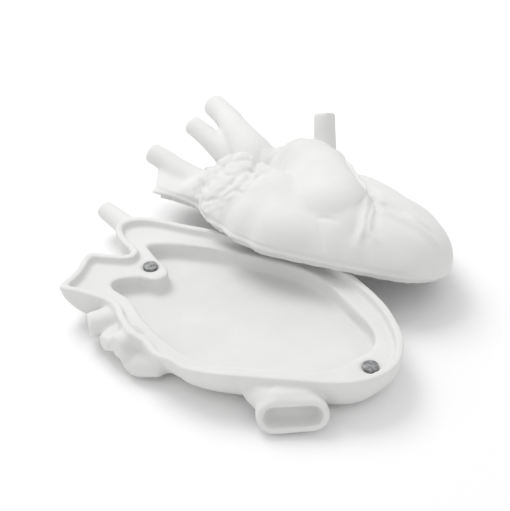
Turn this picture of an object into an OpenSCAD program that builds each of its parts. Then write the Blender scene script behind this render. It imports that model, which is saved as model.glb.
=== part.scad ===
// Anatomical-heart trinket box: two porcelain halves that close on four disc magnets.
// The tray lies on its flat foot with its open side up. The lid leans on its back rim.
// Frame: +X from the vessels to the apex, +Z up, origin in the middle of the tray's foot.

/* [Tray] */
// Height of the tray's rim above its foot
tray_h = 21; // [18:0.5:26]
// Width of the flat rim face
rim_w = 3.7; // [3:0.1:4.5]
// Depth of the ledge below the rim
ledge_depth = 3.5; // [3:0.1:5]
// Depth of the jewellery hollow below the ledge
hollow_depth = 8; // [6:0.5:9.5]
// Size of the foot, as a share of the outline
foot_share = 0.62; // [0.5:0.01:0.75]

/* [Lid] */
// Height of the ventricle dome above the parting plane
dome_h = 28; // [22:0.5:34]
// Height of the spigot lip below the parting plane
lip_h = 3.2; // [2.4:0.1:3.2]
// Thickness of the spigot lip
lip_w = 3; // [2.4:0.1:3.6]
// Gap between the spigot lip and the tray's rim
lip_gap = 0.4; // [0.3:0.05:0.8]
// Thickness of the dome's crown
crown_w = 5; // [4:0.5:7]

/* [Magnets] */
// Diameter of a magnet
magnet_d = 7; // [5:0.5:8]
// Thickness of a tray magnet
tray_magnet_h = 3; // [2:0.5:4]
// How far a tray magnet stands out of the ledge
magnet_proud = 1; // [0.5:0.1:1.2]
// Thickness of a lid magnet
lid_magnet_h = 2; // [1.5:0.5:3]
// Gap between facing magnets when the box is closed
closed_gap = 0.4; // [0.3:0.1:0.8]
// Gap round a magnet in its pocket
magnet_gap = 0.15; // [0.1:0.05:0.3]
// Thickness of the adhesive bed under a magnet
glue_h = 0.2; // [0.1:0.05:0.4]

/* [Lid at rest] */
// Turn of the leaning lid about X
lid_roll = -14.5; // [-18:0.5:-12]
// Turn of the leaning lid about Y
lid_pitch = -4.5; // [-6:0.5:-3]
// Turn of the leaning lid about Z
lid_yaw = -5.5; // [-8:0.5:-3]
// Shift of the lid's parting plane along X
lid_x = -21; // [-24:0.5:-18]
// Shift of the lid's parting plane along Y
lid_y = 76; // [72:0.5:80]
// Rise of the leaning lid over its place if the lip just cleared the rim
lid_rise = -10.4; // [-10.4:0.1:0]

/* [Hidden] */

porcelain = [0.93, 0.93, 0.92];
nickel = [0.55, 0.56, 0.57];
adhesive = [0.86, 0.82, 0.70];

eps = 0.01;
curve_steps = 3;
facets = 48;
$fn = facets;
vessel_facets = 20;

ledge_z = tray_h - ledge_depth;
floor_z = ledge_z - hollow_depth;
tray_pocket_depth = tray_magnet_h + glue_h - magnet_proud;
tray_pocket_z = ledge_z - tray_pocket_depth;
// In the lid's own frame the parting plane is z = 0 and the dome is above it.
lid_magnet_z = magnet_proud - ledge_depth + closed_gap;
lid_pocket_top = lid_magnet_z + lid_magnet_h + glue_h;

magnet_left = [-56, -14];
magnet_right = [68, -1];

// The line along the middle of the heart that its sides curve in towards.
spine_a = [-45, -12];
spine_b = [45, 0];

// Outline of the parting plane: cava, arch, back, apex, near side, pulmonary veins.
outline_points = [
    [-73, -57], [-77, -44], [-84, -30], [-77, -24], [-69, -18], [-70, -14],
    [-79, -12], [-88, -8], [-93, -2], [-92, 5], [-87, 11], [-78, 16],
    [-65, 21], [-52, 27], [-40, 32], [-26, 38], [-9, 43], [4, 46],
    [18, 45], [37, 40], [52, 34], [64, 26], [72, 18], [78, 6],
    [77, -6], [72, -16], [64, -24], [53, -32], [43, -39], [32, -47],
    [20, -55], [11, -59], [4, -59], [-5, -61], [-15, -58], [-24, -58],
    [-35, -54], [-46, -49], [-62, -53],
];
// Outline of the hollow, with the tongue that carries the left magnet.
hollow_points = [
    [-71, -2], [-65, 5], [-58, 10], [-49, 15], [-40, 20], [-27, 25],
    [-9, 32], [6, 34], [20, 32], [34, 28], [49, 22], [58, 16],
    [61, 8], [59, -3], [57, -12], [50, -20], [38, -29], [27, -37],
    [17, -44], [5, -48], [-8, -48], [-20, -46], [-32, -43], [-44, -38],
    [-54, -38], [-60, -36], [-60, -31], [-54, -23], [-47, -20], [-45, -14],
    [-49, -9], [-58, -7], [-67, -4],
];

function spline_at(p0, p1, p2, p3, t) =
    0.5 * (2 * p1 + (p2 - p0) * t + (2 * p0 - 5 * p1 + 4 * p2 - p3) * t * t
        + (3 * p1 - p0 - 3 * p2 + p3) * t * t * t);
function smooth_loop(p) =
    let (n = len(p))
    [for (i = [0 : n - 1]) for (k = [0 : curve_steps - 1])
        spline_at(p[(i + n - 1) % n], p[i], p[(i + 1) % n], p[(i + 2) % n], k / curve_steps)];
function on_spine(p) =
    let (along = spine_b - spine_a, t = (p - spine_a) * along / (along * along))
    spine_a + along * max(0, min(1, t));

outline = smooth_loop(outline_points);
hollow = smooth_loop(hollow_points);

// A solid from rings of the outline, each [share of the outline, height].
module ring_loft(rings, slope) {
    n = len(outline);
    points = [for (ring = rings) for (p = outline)
        let (s = on_spine(p), q = s + (p - s) * ring[0])
        [q.x, q.y, ring[1] * (1 - slope * q.x / 100)]];
    sides = [for (r = [0 : len(rings) - 2]) for (i = [0 : n - 1])
        let (j = (i + 1) % n, a = r * n + i, b = r * n + j, c = a + n, d = b + n)
        each [[a, b, d], [a, d, c]]];
    foot = [for (i = [n - 1 : -1 : 0]) i];
    crown = [for (i = [0 : n - 1]) (len(rings) - 1) * n + i];
    polyhedron(points, concat(sides, [foot, crown]), convexity = 8);
}

module tapered_stub(from, to, r_from, r_to) {
    along = to - from;
    length = norm(along);
    turn = [0, acos(along.z / length), atan2(along.y, along.x)];
    translate(from) rotate(turn) cylinder(h = length, r1 = r_from, r2 = r_to);
}

// A vessel that flares into the body at its root: two blended lengths.
module flared_vessel(from, to, r_from, r_to) {
    middle = from + 0.45 * (to - from);
    r_middle = 0.3 * r_from + 0.7 * r_to;
    hull() {
        translate(from) sphere(r_from, $fn = vessel_facets);
        translate(middle) sphere(r_middle, $fn = vessel_facets);
    }
    hull() {
        translate(middle) sphere(r_middle, $fn = vessel_facets);
        tapered_stub(to - 0.1 * (to - from), to, r_to, r_to * 0.96, $fn = vessel_facets);
    }
}

function bowl_share(t) = foot_share + (1 - foot_share) * pow(sin(90 * t), 0.7);

module bowl() {
    steps = 8;
    ring_loft([for (k = [0 : steps]) [bowl_share(k / steps), tray_h * pow(k / steps, 1.3)]], 0);
}

// Three pulmonary veins and the arch branch: [root, end, root radius, end radius].
tray_vessels = [
    [[-38, -42, 12], [-49, -59, 13], 5.5, 4.6],
    [[-30, -46, 10], [-35, -63, 11], 4.6, 3.8],
    [[-20, -46, 9], [-25, -61, 10], 6, 5.2],
    [[-84, 4, 14], [-115, 8, 14.5], 6, 5.2],
];
// The lower cava grows out of the wall and ends in a round-lipped oval mouth.
cava_root = [40, -22, 11];
cava_root_r = 8.5;
// Each side of the mouth: [place, radius]
cava_sides = [[[50, -44, 9.3], 8], [[60, -34, 9.6], 7.6]];
cava_wall = 2.8;
cava_facets = 20;
cava_out = [0.67, -0.74, 0];

module cava() {
    hull() {
        translate(cava_root) sphere(cava_root_r, $fn = cava_facets);
        for (side = cava_sides) translate(side[0]) sphere(side[1], $fn = cava_facets);
    }
}

module cava_bore() {
    hull() for (side = cava_sides)
        translate(side[0] + side[1] * cava_out) sphere(side[1] - cava_wall, $fn = cava_facets);
}

module tray_pocket(at) {
    translate([at.x, at.y, tray_pocket_z])
        cylinder(h = tray_h, d = magnet_d + 2 * magnet_gap);
}

module recess_shape() {
    offset(delta = -rim_w) polygon(outline);
}

module tray() {
    color(porcelain) difference() {
        union() {
            bowl();
            for (v = tray_vessels) flared_vessel(v[0], v[1], v[2], v[3]);
            cava();
        }
        translate([0, 0, ledge_z]) linear_extrude(tray_h) recess_shape();
        translate([0, 0, floor_z]) linear_extrude(tray_h) polygon(hollow);
        cava_bore();
        tray_pocket(magnet_left);
        tray_pocket(magnet_right);
    }
}

module tray_magnet(at) {
    color(nickel) translate([at.x, at.y, tray_pocket_z + glue_h])
        cylinder(h = tray_magnet_h, d = magnet_d);
}

module tray_glue(at) {
    color(adhesive) translate([at.x, at.y, tray_pocket_z])
        cylinder(h = glue_h, d = magnet_d);
}

// Everything from here to place_lid() is in the lid's own frame.
// The dome is taller towards the vessels by this share of its height in 100 mm.
lid_slope = 0.25;
dome_turn = 78;
dome_power = 0.75;
// Size of the room under the dome, as a share of the outline
room_share = 0.86;
// The lugs stop inside the dome's wall, at this share of the outline.
lug_share = 0.97;
lug_cover = 1;
// How far the lip and the lugs run up into the dome
lip_root = 2;
below_h = 60;
below_w = 400;
swell_facets = 28;
// Each swelling of the dome is blended from two balls: [place, radius].
ventricle_balls = [[[14, -20, 11], 22], [[-24, 6, 14], 20]];
auricle_facets = 24;
auricle_balls = [[[-40, -26, 11], 15], [[-20, -42, 9], 13]];
lug_r = 6.5;
lug_h = 12;
left_lug_root = [-67, -16];
right_lug_root = [74, -1];
// [root, end, root radius, end radius]
lid_vessels = [
    [[-56, -32, 10], [-94, -42, 14], 9, 6],
    [[-52, -10, 14], [-102, -4, 25], 11, 6],
    [[-44, 2, 14], [-106, 10, 34], 15, 6],
    [[-30, 24, 16], [-37, 29, 47], 7, 5.5],
];

module dome(share, height) {
    steps = 8;
    ring_loft([for (k = [0 : steps])
        let (a = dome_turn * k / steps) [share * pow(cos(a), dome_power), height * sin(a)]],
        lid_slope);
}

module swelling(balls, ball_facets) {
    hull() for (b = balls) translate(b[0]) sphere(b[1], $fn = ball_facets);
}

module lug(at, root) {
    linear_extrude(lug_h + lip_h) hull() {
        translate(at) circle(lug_r);
        translate(root) circle(lug_r);
    }
}

module lip_outer() {
    offset(delta = -(rim_w + lip_gap)) polygon(outline);
}

module lid_lugs() {
    lug(magnet_left, left_lug_root);
    lug(magnet_right, right_lug_root);
}

module lid_shell() {
    difference() {
        union() {
            dome(1, dome_h);
            swelling(ventricle_balls, swell_facets);
            swelling(auricle_balls, auricle_facets);
            for (v = lid_vessels) flared_vessel(v[0], v[1], v[2], v[3]);
        }
        translate([0, 0, -below_h]) linear_extrude(below_h) square(below_w, center = true);
        translate([0, 0, -eps]) dome(room_share, dome_h - crown_w);
    }
}

module lip_block() {
    translate([0, 0, -lip_h]) linear_extrude(lip_h + lip_root) lip_outer();
}

module lip_ring() {
    difference() {
        lip_block();
        translate([0, 0, -lip_h - 1]) linear_extrude(lip_h + lip_root + 2)
            offset(delta = -(rim_w + lip_gap + lip_w)) polygon(outline);
    }
}

module lid_part() {
    lid_shell();
    lip_ring();
    intersection() {
        translate([0, 0, -lip_h]) lid_lugs();
        union() {
            lip_block();
            dome(lug_share, dome_h - lug_cover);
        }
    }
}

module place_lid() {
    translate([lid_x, lid_y, tray_h + lip_h + lid_rise]) rotate([lid_roll, lid_pitch, lid_yaw])
        children();
}

module lid_pocket(at) {
    translate([at.x, at.y, -tray_h])
        cylinder(h = tray_h + lid_pocket_top, d = magnet_d + 2 * magnet_gap);
}

module lid() {
    color(porcelain) place_lid() difference() {
        lid_part();
        lid_pocket(magnet_left);
        lid_pocket(magnet_right);
    }
}

module lid_magnet(at) {
    color(nickel) place_lid() translate([at.x, at.y, lid_magnet_z])
        cylinder(h = lid_magnet_h, d = magnet_d);
}

module lid_glue(at) {
    color(adhesive) place_lid() translate([at.x, at.y, lid_pocket_top - glue_h])
        cylinder(h = glue_h, d = magnet_d);
}

tray();
lid();
tray_magnet(magnet_left);  // tray_magnet_left
tray_magnet(magnet_right);  // tray_magnet_right
lid_magnet(magnet_left);  // lid_magnet_left
lid_magnet(magnet_right);  // lid_magnet_right
tray_glue(magnet_left);  // tray_glue_left
tray_glue(magnet_right);  // tray_glue_right
lid_glue(magnet_left);  // lid_glue_left
lid_glue(magnet_right);  // lid_glue_right
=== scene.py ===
import math
import bpy
import numpy as np
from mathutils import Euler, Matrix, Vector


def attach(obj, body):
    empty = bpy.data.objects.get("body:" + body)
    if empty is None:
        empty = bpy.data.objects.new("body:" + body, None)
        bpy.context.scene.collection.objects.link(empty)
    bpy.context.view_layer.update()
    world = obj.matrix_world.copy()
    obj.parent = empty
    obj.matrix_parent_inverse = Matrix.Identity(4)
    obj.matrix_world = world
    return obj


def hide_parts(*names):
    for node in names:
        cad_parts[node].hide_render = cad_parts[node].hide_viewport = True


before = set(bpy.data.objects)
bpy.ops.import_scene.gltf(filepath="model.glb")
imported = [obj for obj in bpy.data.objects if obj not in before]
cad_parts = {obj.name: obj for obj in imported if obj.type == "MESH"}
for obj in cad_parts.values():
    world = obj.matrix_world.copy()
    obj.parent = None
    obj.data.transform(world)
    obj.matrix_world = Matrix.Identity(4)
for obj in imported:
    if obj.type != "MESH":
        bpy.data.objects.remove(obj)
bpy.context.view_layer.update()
mm = 0.001

# the camera looks down at the open tray from its near side
camera = {"place": (259.6, -288.3, 320.2), "turn": 42, "down": 35.5, "lens": 74.1}

# where the lid leans; the same turn and shift as the CAD lid
lean = {"roll": -14.5, "pitch": -4.5, "yaw": -5.5, "shift": (-21, 76, 13.8)}

porcelain = {"tone": (0.755, 0.755, 0.748), "shade": (0.705, 0.705, 0.694), "rough": 0.62}
nickelPlate = {"tarnish": (0.17, 0.17, 0.172), "bright": (0.40, 0.405, 0.41)}
epoxy = {"amber": (0.62, 0.55, 0.38), "cream": (0.78, 0.73, 0.58)}


def deselectAll():
    if bpy.context.object and bpy.context.object.mode != "OBJECT":
        bpy.ops.object.mode_set(mode="OBJECT")
    bpy.ops.object.select_all(action="DESELECT")


def pick(piece):
    deselectAll()
    piece.select_set(True)
    bpy.context.view_layer.objects.active = piece


def addCamera():
    deselectAll()
    bpy.ops.object.camera_add(location=Vector(camera["place"]) * mm)
    cam = bpy.context.object
    turn = math.radians(camera["turn"])
    down = math.radians(camera["down"])
    look = Vector((-math.sin(turn) * math.cos(down), math.cos(turn) * math.cos(down), -math.sin(down)))
    cam.rotation_euler = look.to_track_quat("-Z", "Y").to_euler()
    cam.data.lens = camera["lens"]
    cam.data.sensor_width = 36
    cam.data.clip_start = 0.01
    bpy.context.scene.camera = cam


def copyOfNode(node, name):
    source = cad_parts[node]
    piece = source.copy()
    piece.data = source.data.copy()
    piece.name = name
    piece.parent = None
    bpy.context.scene.collection.objects.link(piece)
    pick(piece)
    bpy.ops.object.mode_set(mode="EDIT")
    bpy.ops.mesh.select_all(action="SELECT")
    bpy.ops.mesh.remove_doubles(threshold=0.00001)
    bpy.ops.object.mode_set(mode="OBJECT")
    return piece


def applyAll(piece):
    pick(piece)
    for modifier in list(piece.modifiers):
        bpy.ops.object.modifier_apply(modifier=modifier.name)


def makeSkin(piece, voxel):
    remesh = piece.modifiers.new("skin", "REMESH")
    remesh.mode = "VOXEL"
    remesh.voxel_size = voxel * mm
    applyAll(piece)


def soften(piece, times, weights=None, factor=0.5):
    smooth = piece.modifiers.new("soften", "SMOOTH")
    smooth.factor = factor
    smooth.iterations = times
    if weights is not None:
        group = piece.vertex_groups.new(name="soft")
        steps = np.round(np.clip(weights, 0, 1) * 10).astype(int)
        for step in range(1, 11):
            chosen = np.nonzero(steps == step)[0].tolist()
            if chosen:
                group.add(chosen, step / 10, "REPLACE")
        smooth.vertex_group = "soft"
    applyAll(piece)
    if weights is not None:
        piece.vertex_groups.clear()


def readMesh(piece):
    count = len(piece.data.vertices)
    places = np.empty(count * 3)
    piece.data.vertices.foreach_get("co", places)
    normals = np.empty(count * 3)
    piece.data.vertices.foreach_get("normal", normals)
    return places.reshape(-1, 3) / mm, normals.reshape(-1, 3)


def writeMesh(piece, places):
    piece.data.vertices.foreach_set("co", (places * mm).ravel())
    piece.data.update()


def rise(value, low, high):
    t = np.clip((value - low) / (high - low), 0, 1)
    return t * t * (3 - 2 * t)


def hump(distance, width):
    return np.exp(-(distance / width) ** 2)


def fromPlace(points, place):
    return np.linalg.norm(points - np.array(place), axis=1)


# distance from each point to a route, and how far along it that is, from 0 to 1
def toRoute(points, route):
    route = np.array(route, float)
    lengths = np.linalg.norm(np.diff(route, axis=0), axis=1)
    starts = np.concatenate([[0], np.cumsum(lengths)])
    best = np.full(len(points), 1e9)
    along = np.zeros(len(points))
    for a, b, start, length in zip(route[:-1], route[1:], starts, lengths):
        t = np.clip(((points - a) @ (b - a)) / length ** 2, 0, 1)
        away = np.linalg.norm(points - (a + t[:, None] * (b - a)), axis=1)
        nearer = away < best
        best[nearer] = away[nearer]
        along[nearer] = (start + t[nearer] * length) / starts[-1]
    return best, along


# a soft wandering field, from sums of waves at a few directions
def waves(points, size, seed):
    draw = np.random.default_rng(seed)
    total = np.zeros(len(points))
    for _ in range(9):
        way = draw.normal(size=3)
        way = way / np.linalg.norm(way)
        stretch = size * draw.uniform(0.7, 1.5)
        total += np.sin(points @ way * 2 * math.pi / stretch + draw.uniform(0, 6.28))
    return total / 3


def lidTurn():
    turn = Euler([math.radians(lean[way]) for way in ("roll", "pitch", "yaw")], "XYZ")
    return np.array(turn.to_matrix())


def toLid(places):
    return (places - np.array(lean["shift"], float)) @ lidTurn()


def fromLid(places):
    return places @ lidTurn().T + np.array(lean["shift"], float)


# takes a piece from its place on the closed lid to its place on the leaning one
def leanOver(piece):
    places, _ = readMesh(piece)
    writeMesh(piece, fromLid(places))


# the parting outline, from the cava round the arch, the back, the apex and the near side; in mm
outline = [
    (-73, -57), (-77, -44), (-84, -30), (-77, -24), (-69, -18), (-70, -14),
    (-79, -12), (-88, -8), (-93, -2), (-92, 5), (-87, 11), (-78, 16),
    (-65, 21), (-52, 27), (-40, 32), (-26, 38), (-9, 43), (4, 46),
    (18, 45), (37, 40), (52, 34), (64, 26), (72, 18), (78, 6),
    (77, -6), (72, -16), (64, -24), (53, -32), (43, -39), (32, -47),
    (20, -55), (11, -59), (4, -59), (-5, -61), (-15, -58), (-24, -58),
    (-35, -54), (-46, -49), (-62, -53),
]
spine = [(-45, -12), (45, 0)]


# a smooth curve through four points, at a share t of the way from the second to the third
def curve(before, start, end, beyond, t):
    square = 2 * before - 5 * start + 4 * end - beyond
    cube = 3 * start - before - 3 * end + beyond
    return 0.5 * (2 * start + (end - before) * t + square * t ** 2 + cube * t ** 3)


def smoothOutline(steps):
    p = np.array(outline, float)
    before, after, beyond = np.roll(p, 1, 0), np.roll(p, -1, 0), np.roll(p, -2, 0)
    rows = [curve(before, p, after, beyond, k / steps) for k in range(steps)]
    return np.stack(rows, 1).reshape(-1, 2)


def onSpine(flat):
    a, b = np.array(spine, float)
    t = np.clip(((flat - a) @ (b - a)) / ((b - a) @ (b - a)), 0, 1)
    return a + t[:, None] * (b - a)


def meshPiece(name, places, faces):
    mesh = bpy.data.meshes.new(name)
    mesh.from_pydata([tuple(place) for place in np.asarray(places) * mm], [], faces)
    mesh.validate()
    piece = bpy.data.objects.new(name, mesh)
    bpy.context.scene.collection.objects.link(piece)
    faceOutwards(piece)
    return piece


def faceOutwards(piece):
    pick(piece)
    bpy.ops.object.mode_set(mode="EDIT")
    bpy.ops.mesh.select_all(action="SELECT")
    bpy.ops.mesh.normals_make_consistent(inside=False)
    bpy.ops.object.mode_set(mode="OBJECT")


# the side and end faces of a stack of rings with the same count of corners
def ringFaces(rings, corners):
    faces = []
    for ring in range(rings - 1):
        low, high = ring * corners, (ring + 1) * corners
        for i in range(corners):
            j = (i + 1) % corners
            faces.append((low + i, low + j, high + j, high + i))
    faces.append(tuple(range(corners - 1, -1, -1)))
    faces.append(tuple((rings - 1) * corners + i for i in range(corners)))
    return faces


# a closed shape from rings that shrink towards the spine; height gives each ring's z
def loft(name, shares, height):
    base = smoothOutline(4)
    middle = onSpine(base)
    rings = []
    for index, share in enumerate(shares):
        flat = middle + (base - middle) * share
        rings.append(np.c_[flat, height(flat, index)])
    return meshPiece(name, np.concatenate(rings), ringFaces(len(rings), len(base)))


# the outline at one share of its size, straight up from one height to another
def core(name, share, low, high):
    return loft(name, [share, share], lambda flat, index: np.full(len(flat), (low, high)[index]))


# a round tube along [x, y, z, radius] stations, with flat closed ends
def tube(name, stations, sides=28, steps=7):
    p = np.array(stations, float)
    ext = np.concatenate([[2 * p[0] - p[1]], p, [2 * p[-1] - p[-2]]])
    rows = [curve(*ext[i:i + 4], k / steps) for i in range(len(p) - 1) for k in range(steps)]
    rows = np.array([*rows, p[-1]])
    ways = np.gradient(rows[:, :3], axis=0)
    ways /= np.linalg.norm(ways, axis=1)[:, None]
    side = np.cross(ways[0], (0, 0, 1.0))
    side /= np.linalg.norm(side)
    turn = np.arange(sides) * 2 * math.pi / sides
    places = []
    for row, way in zip(rows, ways):
        side = side - way * (side @ way)
        side /= np.linalg.norm(side)
        top = np.cross(way, side)
        places.append(row[:3] + row[3] * (np.cos(turn)[:, None] * side + np.sin(turn)[:, None] * top))
    return meshPiece(name, np.concatenate(places), ringFaces(len(rows), sides))


def hullOf(name, made):
    piece = joinAll(name, made)
    pick(piece)
    bpy.ops.object.mode_set(mode="EDIT")
    bpy.ops.mesh.select_all(action="SELECT")
    bpy.ops.mesh.convex_hull()
    bpy.ops.object.mode_set(mode="OBJECT")
    faceOutwards(piece)
    return piece


# balls wrapped in one tight skin; each ball is [x, y, z, radius]
def wrap(name, balls):
    deselectAll()
    made = []
    for x, y, z, radius in balls:
        bpy.ops.mesh.primitive_uv_sphere_add(segments=28, ring_count=16, radius=radius * mm,
                                             location=(x * mm, y * mm, z * mm))
        made.append(bpy.context.object)
    return hullOf(name, made)


# upright posts wrapped in one tight skin
def wrapPosts(name, spots, radius, low, high):
    made = []
    for spot in spots:
        deselectAll()
        bpy.ops.mesh.primitive_cylinder_add(
            vertices=48, radius=radius * mm, depth=(high - low) * mm,
            location=(spot[0] * mm, spot[1] * mm, (low + high) / 2 * mm))
        made.append(bpy.context.object)
    return hullOf(name, made)


def joinAll(name, pieces):
    deselectAll()
    for piece in pieces:
        piece.select_set(True)
    bpy.context.view_layer.objects.active = pieces[0]
    bpy.ops.object.transform_apply(location=True, rotation=True, scale=True)
    if len(pieces) > 1:
        bpy.ops.object.join()
    pieces[0].name = name
    return pieces[0]


def block(low, high):
    deselectAll()
    low, high = np.array(low, float), np.array(high, float)
    bpy.ops.mesh.primitive_cube_add(size=1, location=(low + high) / 2 * mm, scale=(high - low) * mm)
    bpy.ops.object.transform_apply(location=True, rotation=True, scale=True)
    return bpy.context.object


# a big block that starts at a point and lies on the far side of it
def beyondPlane(place, way, size):
    deselectAll()
    bpy.ops.mesh.primitive_cube_add(size=size * mm, location=Vector(place + way * size / 2) * mm,
                                    rotation=Vector(way).to_track_quat("Z", "Y").to_euler())
    bpy.ops.object.transform_apply(location=True, rotation=True, scale=True)
    return bpy.context.object


def carve(piece, tool, way="DIFFERENCE"):
    change = piece.modifiers.new("carve", "BOOLEAN")
    change.operation = way
    change.solver = "EXACT"
    change.object = tool
    applyAll(piece)
    bpy.data.objects.remove(tool)


tray = {
    "voxel": 0.8, "roughVoxel": 1.0, "rim": 21, "floor": 9.5,
    # each vessel is a run of [x, y, z, radius]
    "veins": [
        [(-40, -40, 11, 7), (-44, -49, 12, 6.6), (-50, -59.5, 11.2, 5.8)],
        [(-33, -44, 9, 6), (-35, -53, 10, 5.2), (-37, -62.5, 9.8, 4.1)],
        [(-24, -42, 11, 7.4), (-25, -50, 13, 6.4), (-27.5, -63, 13.4, 5.6)],
    ],
    "atrium": [(-38, -46, 6.6, 6.2), (-30, -54, 5.8, 5.5), (-18, -58.5, 6, 5.7), (-9, -54, 8.6, 6.6)],
    "cava": [(29, -33, 13, 6), (35, -39, 12.2, 6), (42, -40.5, 11, 6.4), (48, -40, 9.8, 7)],
    # the mouth's oval rim, as [x, y, z, radius] of its two ends, the way it faces and its lip
    "mouth": [(50.5, -44.5, 8.0, 7.7), (62, -32.5, 8.4, 7.5)],
    "mouthOut": (0.60, -0.66, 0.42), "mouthCut": 3.2, "lip": 2.5,
    # the flare's radius where it leaves the cava, and the balls that fill it out above
    "flareRoot": 6.2, "flareFill": [(56, -30.5, 11.4, 6.2), (48, -34.5, 12.2, 5.8)],
    # the bore starts behind the rim and narrower than it, and runs out past the lip
    "boreBehind": 1.6, "boreNarrower": 4.6, "borePast": 14, "boreSpare": 0.6,
    # the hollow and the ledge, as a share of the outline and the height that it starts at
    "clear": [(0.86, 4.0), (0.93, 16.9)], "clearTop": 30.0,
    # the box that holds the CAD's plain cava
    "cavaBox": ((44, -60, -1), (80, -20, 17.5)),
    "atriumMiddle": (-30, -54), "groove": [(-2, -66), (-3, -55)], "grooveWidth": 2.4, "grooveDepth": 1.5,
    # smoothing rounds over the whole tray and over its outside, and what still counts as foot
    "smoothAll": 5, "smoothOutside": 16, "foot": 0.12,
}


def makeCavaFlare(out, ends):
    root = tray["cava"][-1][:3] + (tray["flareRoot"],)
    flare = wrap("cavaFlare", [root, *tray["flareFill"], *tray["mouth"]])
    middle = (ends[0, :3] + ends[1, :3]) / 2
    carve(flare, beyondPlane(middle + out * tray["mouthCut"], out, 60))
    return flare


def boreMouth(piece, out, ends):
    room = [tuple(end[:3] - out * tray["boreBehind"]) + (end[3] - tray["boreNarrower"],) for end in ends]
    for past in (tray["mouthCut"], tray["borePast"]):
        room += [tuple(end[:3] + out * past) + (end[3] - tray["lip"] - tray["boreSpare"],) for end in ends]
    carve(piece, wrap("mouthRoom", room))


# the inside keeps its crisp ledge; only what was added outside is blended
def blendTray(piece, out, ends):
    places, normals = readMesh(piece)
    height = places[:, 2]
    outside = rise(-normals[:, 2], -0.5, 0.1) * rise(tray["rim"] - height, 0.8, 3) * rise(height, 0.3, 2)
    mouth, _ = toRoute(places, [end[:3] + out * 4 for end in ends])
    outside = outside * rise(mouth, 5, 11)
    # the veins keep their cut ends
    for run in tray["veins"]:
        outside = outside * (0.12 + 0.88 * rise(fromPlace(places, run[-1][:3]), 6.5, 9.5))
    hollow = (height < tray["floor"] + 3) & (normals[:, 2] > -0.2) & (height > tray["floor"] - 1)
    soften(piece, tray["smoothAll"])
    soften(piece, tray["smoothOutside"], np.maximum(outside * 0.9, hollow * 0.8))


def shapeTray(piece, ends):
    places, normals = readMesh(piece)
    height = places[:, 2]
    outside = rise(-normals[:, 2], -0.6, 0.0) * rise(tray["rim"] - height, 1.5, 5) * rise(height, 0.4, 3)
    mouth, _ = toRoute(places, [end[:3] for end in ends])
    lift = outside * waves(places, 24, 3) * 0.35 * rise(mouth, 8, 14)
    # the atrium between the veins is lumpier than the ventricle
    atrium = hump(fromPlace(places[:, :2], tray["atriumMiddle"]), 15)
    veinEnds = np.min([fromPlace(places, run[-1][:3]) for run in tray["veins"]], axis=0)
    lift += outside * atrium * waves(places, 10, 5) * 0.5 * rise(veinEnds, 6, 9)
    # a groove runs down the wall where atrium meets ventricle
    groove, _ = toRoute(places[:, :2], tray["groove"])
    lift -= outside * hump(groove, tray["grooveWidth"]) * tray["grooveDepth"]
    lift += 0.05 * waves(places, 14, 11) * rise(height, 0.4, 2)
    places[:, 2] = np.where(height < tray["foot"], 0.0, height)
    writeMesh(piece, places + normals * lift[:, None])


def makeTray():
    piece = copyOfNode("tray", "trayShell")
    soft = [tube("vein", run) for run in tray["veins"]]
    soft.append(wrap("atrium", tray["atrium"]))
    soft.append(tube("cavaStem", tray["cava"]))
    out = np.array(tray["mouthOut"])
    out /= np.linalg.norm(out)
    ends = np.array(tray["mouth"], float)
    soft = joinAll("soft", [*soft, makeCavaFlare(out, ends)])
    makeSkin(soft, tray["roughVoxel"])
    # nothing that is added outside shows in the hollow or on the ledge
    for share, low in tray["clear"]:
        carve(soft, core("clear", share, low, tray["clearTop"]))
    # the CAD's plain cava is cut off, and the modelled one takes its place
    trim = block(*tray["cavaBox"])
    carve(trim, core("keep", 1.0, -2.0, tray["clearTop"]))
    carve(piece, trim)
    piece = joinAll("trayShell", [piece, soft])
    makeSkin(piece, tray["voxel"])
    boreMouth(piece, out, ends)
    makeSkin(piece, tray["voxel"])
    blendTray(piece, out, ends)
    shapeTray(piece, ends)
    return piece


lid = {
    "voxel": 0.84, "roughVoxel": 1.0, "dome": 28, "slope": 0.25, "wall": 4.6,
    # the dome's rings, in degrees up from the rim, how bluntly they close, and the room's share of them
    "turns": (0, 5, 11, 18, 26, 34, 43, 53, 64, 78), "blunt": 0.75, "roomShare": 0.86,
    "ventricle": [(17, -19, 11, 22), (-22, 8, 14.5, 20)],
    "auricle": [(-40, -30, 9, 14), (-22, -43, 8, 13)],
    # each vessel is a run of [x, y, z, radius]
    "vessels": [
        [(-106, 10, 34, 6.6), (-90, 7, 31, 7.2), (-72, 0, 27.5, 8.4), (-54, -4, 21, 11.5), (-42, -2, 12, 14)],
        [(-101, -9, 25, 5.6), (-90, -8.5, 22.5, 5.9), (-76, -8, 18.5, 7), (-58, -6, 12, 9)],
        [(-94, -42, 14, 5.8), (-84, -40, 12, 6), (-73, -38, 8.5, 7.4), (-58, -34, 4.5, 9)],
        [(-36, 28.5, 47.3, 5.9), (-33, 27.5, 39, 6), (-30, 26, 31, 6.6), (-26, 22, 20, 8.5)],
    ],
    # the thin web from the lowest vessel down to the rim's corner
    "web": [
        (-84, -42, 8, 2.2), (-71.5, -54.5, 1.6, 1.4), (-58, -50, 2.2, 2), (-60, -38, 7, 4), (-76, -40, 7, 4),
    ],
    # each lug runs from under its magnet to the wall, up to a height
    "lugs": [((-56, -14), (-67, -16), 7.5), ((68, -1), (74, -1), 11)],
    # lugs start just above the parting face and stay within a share of the dome's plan and height
    "lugRadius": 6.5, "lugFrom": 0.3, "lugShare": 0.96, "lugHeight": 0.93,
    # the CAD's lip, pockets and parting face are kept up to here
    "baseTop": 0.8,
    # smoothing rounds over the whole lid and over its dome
    "smoothAll": 3, "smoothDome": 26,
}

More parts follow.
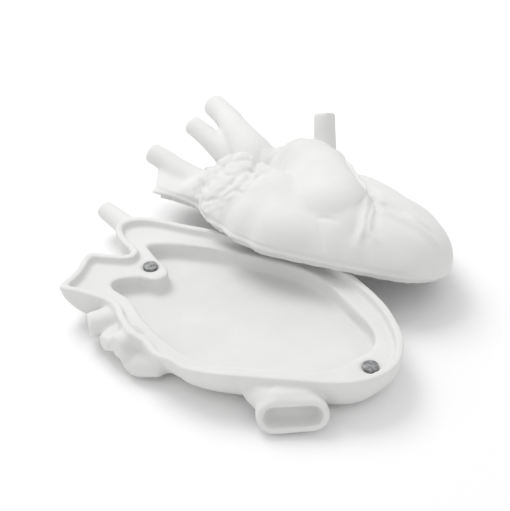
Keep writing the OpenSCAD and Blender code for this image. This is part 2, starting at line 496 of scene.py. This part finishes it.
lidRelief = {
    # [route over the dome, height, width]; both in mm, in the closed lid's plan
    "ridges": [
        [[(31, -4), (40, -15), (43, -20), (47, -25), (49, -29), (50, -33)], 1.9, 1.5],
        [[(35, -7), (41, -13), (46, -20), (50, -24), (54, -24), (59, -22)], 1.5, 1.3],
        [[(31, -2), (36, -3), (40, 0), (49, 2), (58, 1), (66, 4)], 1.6, 1.3],
        [[(37, -6), (46, -9), (54, -7), (64, -3), (70, 0), (75, 3)], 1.8, 1.5],
        [[(23, 0), (27, -2), (31, -4)], 1.8, 2.0],
    ],
    "creases": [
        [[(27, -38), (32, -34), (38, -31)], 0.6, 0.9],
        [[(28, -38), (34, -40), (40, -41)], 0.55, 0.9],
        # where the auricle's folds lie against the ventricle
        [[(-44, -8), (-36, -17), (-27, -27), (-19, -38), (-14, -50)], 2.2, 1.7],
    ],
    # the edge of the right ventricle, where it steps down to the left one
    "step": [
        (-44, 12), (-34, 23), (-20, 26), (-6, 21), (7, 12),
        (23, 2), (34, -7), (43, -18), (50, -30), (52, -42),
    ],
    "stepHeight": 3.4, "stepFoot": 1.6,
    # the raised roll that follows the ventricle's edge
    "crest": [(-24, -22), (-31, -8), (-34, 6), (-31, 17), (-19, 22), (-6, 18), (7, 9), (21, 0), (30, -6)],
    # the auricle's folds fan out from its root
    "auricleMiddle": (-31, -43), "auricleReach": (23, 18), "auricleRoot": (-20, -8),
    "folds": 17, "lobeLength": 9.5, "foldHeight": 2.3, "foldSink": 0.6,
    # the fine line that runs round the lid, above its parting edge
    "lineUp": 2.7, "lineWidth": 0.75, "lineDepth": 0.5,
}


domeTurns = [math.radians(degrees) for degrees in lid["turns"]]
domeShares = [math.cos(turn) ** lid["blunt"] for turn in domeTurns]


# the dome is full over the ventricles and falls away steeply among the vessels
def domeHeight(flat, index):
    share = 0.20 + 0.80 * rise(flat[:, 0], -70, -38)
    return lid["dome"] * math.sin(domeTurns[index]) * (1 - lid["slope"] * flat[:, 0] / 100) * share


# the room under the dome starts well below the parting face
def roomHeight(flat, index):
    if index == 0:
        return np.full(len(flat), -8.0)
    wall = lid["wall"] * math.sin(domeTurns[index]) ** 0.5 * 1.05
    return np.maximum(domeHeight(flat, index) - wall, -7.0 + index * 0.3)


def lugHeight(flat, index):
    return domeHeight(flat, index) * lid["lugHeight"]


def makeDome():
    shell = loft("lidShell", domeShares, domeHeight)
    soft = [tube("vessel", run) for run in lid["vessels"]]
    for part in ("ventricle", "auricle", "web"):
        soft.append(wrap(part, lid[part]))
    shell = joinAll("lidShell", [shell, *soft])
    makeSkin(shell, lid["roughVoxel"])
    carve(shell, loft("room", [share * lid["roomShare"] for share in domeShares], roomHeight))
    carve(shell, block((-200, -200, -60), (200, 200, 0)))
    return shell


def makeLug(magnetAt, root, top):
    spots = [np.array(magnetAt, float), np.array(root, float)]
    lug = wrapPosts("lug", spots, lid["lugRadius"], lid["lugFrom"], top)
    carve(lug, loft("lugRoom", [share * lid["lugShare"] for share in domeShares], lugHeight), "INTERSECT")
    return lug


# the dome's outside is softened, without the rim, the lip and the hollow
def blendLid(piece):
    soften(piece, lid["smoothAll"])
    places, normals = readMesh(piece)
    local = toLid(places)
    out = normals @ lidTurn()
    dome = rise(local[:, 2], 1.5, 6) * rise(out[:, 2], -0.3, 0.1)
    stub = (local[:, 0] < -80) | (local[:, 2] > 36)
    soften(piece, lid["smoothDome"], np.where(stub, dome * 0.2, dome))


# folds that fan out from the auricle's root, broken into lobes: 0 down in a crease, 1 up on a lobe
def auricleFolds(local):
    fan = local[:, :2] - np.array(lidRelief["auricleRoot"])
    angle = np.arctan2(fan[:, 1], fan[:, 0])
    reach = np.linalg.norm(fan, axis=1)
    folds = np.cos(angle * lidRelief["folds"] + 1.0 * waves(local, 17, 21)) * 0.8
    turns = reach * 2 * math.pi / lidRelief["lobeLength"]
    lobes = np.cos(turns + 1.5 * waves(local, 13, 8) + angle * 5)
    return (1 - np.exp(-(1 + folds) * 1.9)) * (0.45 + 0.55 * (1 - np.exp(-(1 + lobes) * 2.2)))


# the coronary vessels stand proud, each between two faint furrows
def coronaryLift(flat):
    proud = np.zeros(len(flat))
    furrow = np.zeros(len(flat))
    for route, height, width in lidRelief["ridges"]:
        away, along = toRoute(flat, route)
        tip = 1 - rise(along, 0.8, 1)
        proud = np.maximum(proud, hump(away, width) * height * (1 - 0.55 * along) * tip)
        furrow = np.maximum(furrow, hump(away - 2.6 * width, width * 1.1) * 0.4 * tip)
    return proud - furrow * (1 - np.clip(proud, 0, 1))


def shapeLid(piece):
    places, normals = readMesh(piece)
    local = toLid(places)
    out = normals @ lidTurn()
    flat = local[:, :2]
    height = local[:, 2]
    dome = rise(height, 0.8, 5) * rise(out[:, 2], -0.35, 0.05) * (1 - rise(height, 34, 38))
    step = np.array(lidRelief["step"], float)
    side = np.interp(flat[:, 0], step[:, 0], step[:, 1]) - flat[:, 1]
    inSpan = rise(flat[:, 0], -44, -34) * (1 - rise(flat[:, 0], 30, 47))
    lift = inSpan * rise(side, -0.5, 4) * (1 - rise(side, 12, 40)) * lidRelief["stepHeight"]
    lift -= inSpan * hump(side + 2.5, 4) * lidRelief["stepFoot"]
    # the raised roll has a furrow on each side
    away, along = toRoute(flat, lidRelief["crest"])
    ends = np.sin(math.pi * np.clip(along, 0, 1)) ** 0.3
    lift += ends * hump(away, 2.0) * (1.6 + 0.3 * waves(local, 11, 31))
    lift -= ends * hump(away - 4.2, 1.5) * 0.85
    # the wrinkled right auricle
    spot = (flat - np.array(lidRelief["auricleMiddle"])) / np.array(lidRelief["auricleReach"])
    within = 1 - rise(np.linalg.norm(spot, axis=1), 0.72, 1.08)
    lift += within * (lidRelief["foldHeight"] * auricleFolds(local) - lidRelief["foldSink"])
    lift += within * 0.25 * waves(local, 4.2, 8)
    lift += coronaryLift(flat)
    for route, depth, width in lidRelief["creases"]:
        away, along = toRoute(flat, route)
        lift -= hump(away, width) * depth * np.sin(math.pi * np.clip(along, 0.02, 0.98))
    lift += 0.4 * waves(local, 26, 2) * rise(flat[:, 0], -60, -40)
    # the upright vessel's foot stays smooth
    foot, _ = toRoute(local, [station[:3] for station in lid["vessels"][3]])
    lift = lift * dome * rise(foot, 7.5, 11.5)
    line = hump(height - lidRelief["lineUp"], lidRelief["lineWidth"]) * lidRelief["lineDepth"]
    lift -= rise(out[:, 2], -0.4, 0.0) * line * rise(6 - np.abs(height), 0, 1)
    lift += 0.05 * waves(places, 14, 12)
    writeMesh(piece, places + normals * lift[:, None])


def makeLid():
    shell = makeDome()
    lugs = [makeLug(*lug) for lug in lid["lugs"]]
    for part in (shell, *lugs):
        leanOver(part)
    # the lip, the magnet pockets and the parting face are the CAD's own
    base = copyOfNode("lid", "lidBase")
    slab = block((-200, -200, lid["baseTop"]), (200, 200, 90))
    leanOver(slab)
    carve(base, slab)
    piece = joinAll("lidShell", [shell, base, *lugs])
    makeSkin(piece, lid["voxel"])
    blendLid(piece)
    shapeLid(piece)
    soften(piece, 1, factor=0.3)
    return piece


magnet = {"edge": 0.35, "sides": 96}


# a nickel disc with a rounded edge, in the place of its CAD node
def makeMagnet(node, name, tilted):
    places, _ = readMesh(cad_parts[node])
    if tilted:
        places = toLid(places)
    least, most = places.min(0), places.max(0)
    middle = (least + most) / 2
    deselectAll()
    bpy.ops.mesh.primitive_cylinder_add(
        vertices=magnet["sides"], radius=(most[0] - least[0]) / 2 * mm,
        depth=(most[2] - least[2]) * mm, location=(0, 0, 0))
    piece = bpy.context.object
    piece.name = name
    bevel = piece.modifiers.new("edge", "BEVEL")
    bevel.width = magnet["edge"] * mm
    bevel.segments = 4
    bevel.limit_method = "ANGLE"
    applyAll(piece)
    placed, _ = readMesh(piece)
    placed = placed + middle
    if tilted:
        placed = fromLid(placed)
    writeMesh(piece, placed)
    bpy.ops.object.shade_smooth_by_angle(angle=math.radians(40))
    return piece


def newMaterial(name):
    material = bpy.data.materials.new(name)
    material.use_nodes = True
    nodes = material.node_tree.nodes
    return material, nodes, material.node_tree.links, nodes["Principled BSDF"]


def addNoise(nodes, links, scale, detail=4, roughness=0.55):
    coords = nodes.new("ShaderNodeTexCoord")
    noise = nodes.new("ShaderNodeTexNoise")
    noise.inputs["Scale"].default_value = scale
    noise.inputs["Detail"].default_value = detail
    noise.inputs["Roughness"].default_value = roughness
    links.new(coords.outputs["Object"], noise.inputs["Vector"])
    return noise


def addRamp(nodes, links, source, stops):
    ramp = nodes.new("ShaderNodeValToRGB")
    for element, (place, tone) in zip(ramp.color_ramp.elements, stops):
        element.position = place
        element.color = (*tone, 1)
    links.new(source, ramp.inputs["Fac"])
    return ramp


# unglazed bisque porcelain: warm cloudy white, a fine chalky grain, and slightly polished high spots
def makePorcelain():
    material, nodes, links, shader = newMaterial("bisquePorcelain")
    cloud = addNoise(nodes, links, 38, 5)
    stops = [(0.3, porcelain["shade"]), (0.68, porcelain["tone"])]
    ramp = addRamp(nodes, links, cloud.outputs["Fac"], stops)
    speck = addNoise(nodes, links, 900, 2)
    dots = addRamp(nodes, links, speck.outputs["Fac"], [(0.22, (0.93, 0.93, 0.92)), (0.3, (1, 1, 1))])
    mix = nodes.new("ShaderNodeMixRGB")
    mix.blend_type = "MULTIPLY"
    mix.inputs["Fac"].default_value = 1
    links.new(ramp.outputs["Color"], mix.inputs[1])
    links.new(dots.outputs["Color"], mix.inputs[2])
    links.new(mix.outputs["Color"], shader.inputs["Base Color"])
    handled = addNoise(nodes, links, 70, 4)
    polish = nodes.new("ShaderNodeMapRange")
    polish.inputs["To Min"].default_value = porcelain["rough"] - 0.1
    polish.inputs["To Max"].default_value = porcelain["rough"] + 0.14
    links.new(handled.outputs["Fac"], polish.inputs["Value"])
    links.new(polish.outputs["Result"], shader.inputs["Roughness"])
    grain = addNoise(nodes, links, 1400, 3, 0.7)
    ripple = addNoise(nodes, links, 160, 3)
    total = nodes.new("ShaderNodeMath")
    total.operation = "MULTIPLY_ADD"
    total.inputs[1].default_value = 0.35
    links.new(grain.outputs["Fac"], total.inputs[0])
    links.new(ripple.outputs["Fac"], total.inputs[2])
    bump = nodes.new("ShaderNodeBump")
    bump.inputs["Strength"].default_value = 0.16
    bump.inputs["Distance"].default_value = 0.0004
    links.new(total.outputs["Value"], bump.inputs["Height"])
    links.new(bump.outputs["Normal"], shader.inputs["Normal"])
    shader.inputs["Specular IOR Level"].default_value = 0.3
    shader.inputs["Subsurface Weight"].default_value = 0.06
    shader.inputs["Subsurface Radius"].default_value = (0.004, 0.0036, 0.0032)
    return material


# nickel plate: grey metal with mottled tarnish and fine crossing scuffs
def makeNickel():
    material, nodes, links, shader = newMaterial("scuffedNickel")
    patches = addNoise(nodes, links, 520, 6, 0.6)
    stops = [(0.35, nickelPlate["tarnish"]), (0.62, nickelPlate["bright"])]
    ramp = addRamp(nodes, links, patches.outputs["Fac"], stops)
    links.new(ramp.outputs["Color"], shader.inputs["Base Color"])
    scuffs = addNoise(nodes, links, 1, 8, 0.7)
    mapping = nodes.new("ShaderNodeMapping")
    mapping.inputs["Rotation"].default_value = (0, 0, 0.6)
    mapping.inputs["Scale"].default_value = (400, 3200, 900)
    coords = nodes.new("ShaderNodeTexCoord")
    links.new(coords.outputs["Object"], mapping.inputs["Vector"])
    links.new(mapping.outputs["Vector"], scuffs.inputs["Vector"])
    rough = nodes.new("ShaderNodeMapRange")
    rough.inputs["To Min"].default_value = 0.45
    rough.inputs["To Max"].default_value = 0.75
    links.new(scuffs.outputs["Fac"], rough.inputs["Value"])
    links.new(rough.outputs["Result"], shader.inputs["Roughness"])
    bump = nodes.new("ShaderNodeBump")
    bump.inputs["Strength"].default_value = 0.3
    bump.inputs["Distance"].default_value = 0.0001
    links.new(scuffs.outputs["Fac"], bump.inputs["Height"])
    links.new(bump.outputs["Normal"], shader.inputs["Normal"])
    shader.inputs["Metallic"].default_value = 0.75
    return material


# cured epoxy: amber-cream, glossy, faintly clouded
def makeAdhesive():
    material, nodes, links, shader = newMaterial("curedEpoxy")
    cloud = addNoise(nodes, links, 300, 3)
    stops = [(0.3, epoxy["amber"]), (0.7, epoxy["cream"])]
    ramp = addRamp(nodes, links, cloud.outputs["Fac"], stops)
    links.new(ramp.outputs["Color"], shader.inputs["Base Color"])
    shader.inputs["Roughness"].default_value = 0.3
    return material


def dress(piece, material):
    piece.data.materials.clear()
    piece.data.materials.append(material)
    pick(piece)
    bpy.ops.object.shade_smooth()


# the window's strength, size, place and aim are in watts and metres
studio = {
    "floor": (0.93, 0.93, 0.93), "fill": 0.81,
    "key": 5.2, "window": 0.6, "windowPlace": (-0.62, 0.1, 0.92), "windowAim": (0, 0.03, 0.02),
}


def makeStudio():
    deselectAll()
    bpy.ops.mesh.primitive_plane_add(size=8, location=(0, 0, 0))
    ground = bpy.context.object
    ground.name = "studioFloor"
    material, nodes, links, shader = newMaterial("paleFloor")
    shader.inputs["Base Color"].default_value = (*studio["floor"], 1)
    shader.inputs["Roughness"].default_value = 0.9
    shader.inputs["Specular IOR Level"].default_value = 0.1
    ground.data.materials.append(material)
    bpy.context.scene.view_settings.view_transform = "Standard"
    world = bpy.data.worlds.new("studio")
    world.use_nodes = True
    world.node_tree.nodes["Background"].inputs["Color"].default_value = (1, 1, 1, 1)
    world.node_tree.nodes["Background"].inputs["Strength"].default_value = studio["fill"]
    bpy.context.scene.world = world
    # a big soft window behind and to the left of the box
    deselectAll()
    bpy.ops.object.light_add(type="AREA", location=studio["windowPlace"])
    window = bpy.context.object
    window.data.size = studio["window"]
    window.data.energy = studio["key"]
    aim = Vector(studio["windowAim"]) - window.location
    window.rotation_euler = aim.to_track_quat("-Z", "Y").to_euler()


addCamera()
makeStudio()
print("camera and studio set")
clay = makePorcelain()
nickel = makeNickel()
glue = makeAdhesive()
trayShell = makeTray()
dress(trayShell, clay)
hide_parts("tray")
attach(trayShell, "tray")
print("tray done", len(trayShell.data.polygons))
lidShell = makeLid()
dress(lidShell, clay)
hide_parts("lid")
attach(lidShell, "lid")
print("lid done", len(lidShell.data.polygons))
for half in ("tray", "lid"):
    for side in ("left", "right"):
        disc = makeMagnet(half + "_magnet_" + side, half + "Magnet" + side.title(), half == "lid")
        disc.data.materials.append(nickel)
        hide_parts(half + "_magnet_" + side)
        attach(disc, half)
        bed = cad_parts[half + "_glue_" + side]
        bed.data.materials.clear()
        bed.data.materials.append(glue)
print("magnets done")
